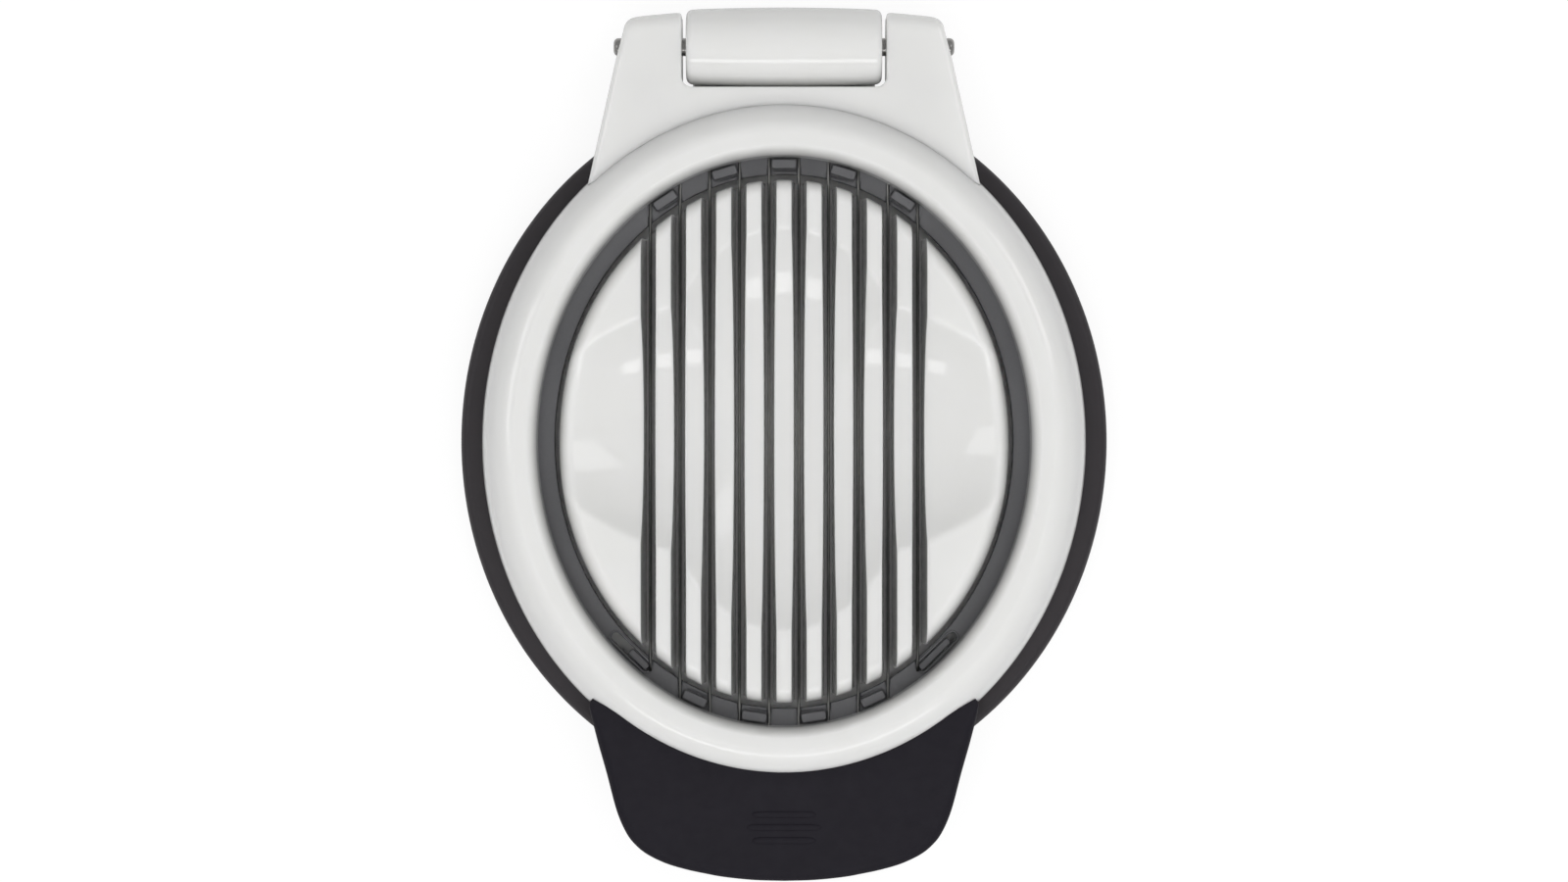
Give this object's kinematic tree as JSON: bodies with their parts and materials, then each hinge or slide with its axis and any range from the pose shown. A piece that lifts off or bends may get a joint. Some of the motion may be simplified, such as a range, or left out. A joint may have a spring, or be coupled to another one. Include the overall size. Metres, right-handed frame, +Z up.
{
  "type": "egg slicer",
  "caption": "Hand egg slicer: an oval base with a slotted egg tray, and a hinged ring of taut steel wires with a soft grip.",
  "frame": {"origin": "centre of the closed slicer's outline on the surface it stands on", "axes": "+X across the slicer, +Y from the grip towards the hinge, +Z up"},
  "size_m": [0.1094, 0.1464, 0.0275],
  "materials": {
    "white_abs": "gloss moulded",
    "dark_tpe": "satin soft-touch",
    "grey_nylon": "satin moulded",
    "wire_steel": "drawn, bright",
    "fastener_steel": "satin"
  },
  "bodies": {
    "base": {"base_body": "white_abs", "nonslip_ring": "dark_tpe", "egg_tray": "white_abs", "hinge_pin": "fastener_steel", "tray_screw_1": "fastener_steel", "tray_screw_2": "fastener_steel", "tray_screw_3": "fastener_steel", "tray_screw_4": "fastener_steel"},
    "cutting_arm": {"arm_frame": "white_abs", "arm_grip": "dark_tpe", "wire_carrier": "grey_nylon", "wire_lock_left": "grey_nylon", "wire_lock_right": "grey_nylon", "carrier_screw_1": "fastener_steel", "carrier_screw_2": "fastener_steel", "carrier_screw_3": "fastener_steel", "carrier_screw_4": "fastener_steel", "carrier_screw_5": "fastener_steel", "carrier_screw_6": "fastener_steel", "wire_strand_01": "wire_steel", "wire_strand_02": "wire_steel", "wire_strand_03": "wire_steel", "wire_strand_04": "wire_steel", "wire_strand_05": "wire_steel", "wire_strand_06": "wire_steel", "wire_strand_07": "wire_steel", "wire_strand_08": "wire_steel", "wire_strand_09": "wire_steel", "wire_strand_10": "wire_steel", "wire_loop_back_1": "wire_steel", "wire_loop_back_2": "wire_steel", "wire_loop_back_3": "wire_steel", "wire_loop_back_4": "wire_steel", "wire_loop_back_5": "wire_steel", "wire_loop_front_1": "wire_steel", "wire_loop_front_2": "wire_steel", "wire_loop_front_3": "wire_steel", "wire_loop_front_4": "wire_steel"}
  },
  "joints": [
    {"name": "arm_hinge", "type": "hinge", "parent": "base", "child": "cutting_arm", "pos_m": [0, 0.0666, 0.017], "axis": [-1, 0, 0], "range_deg": [0, 105]}
  ]
}
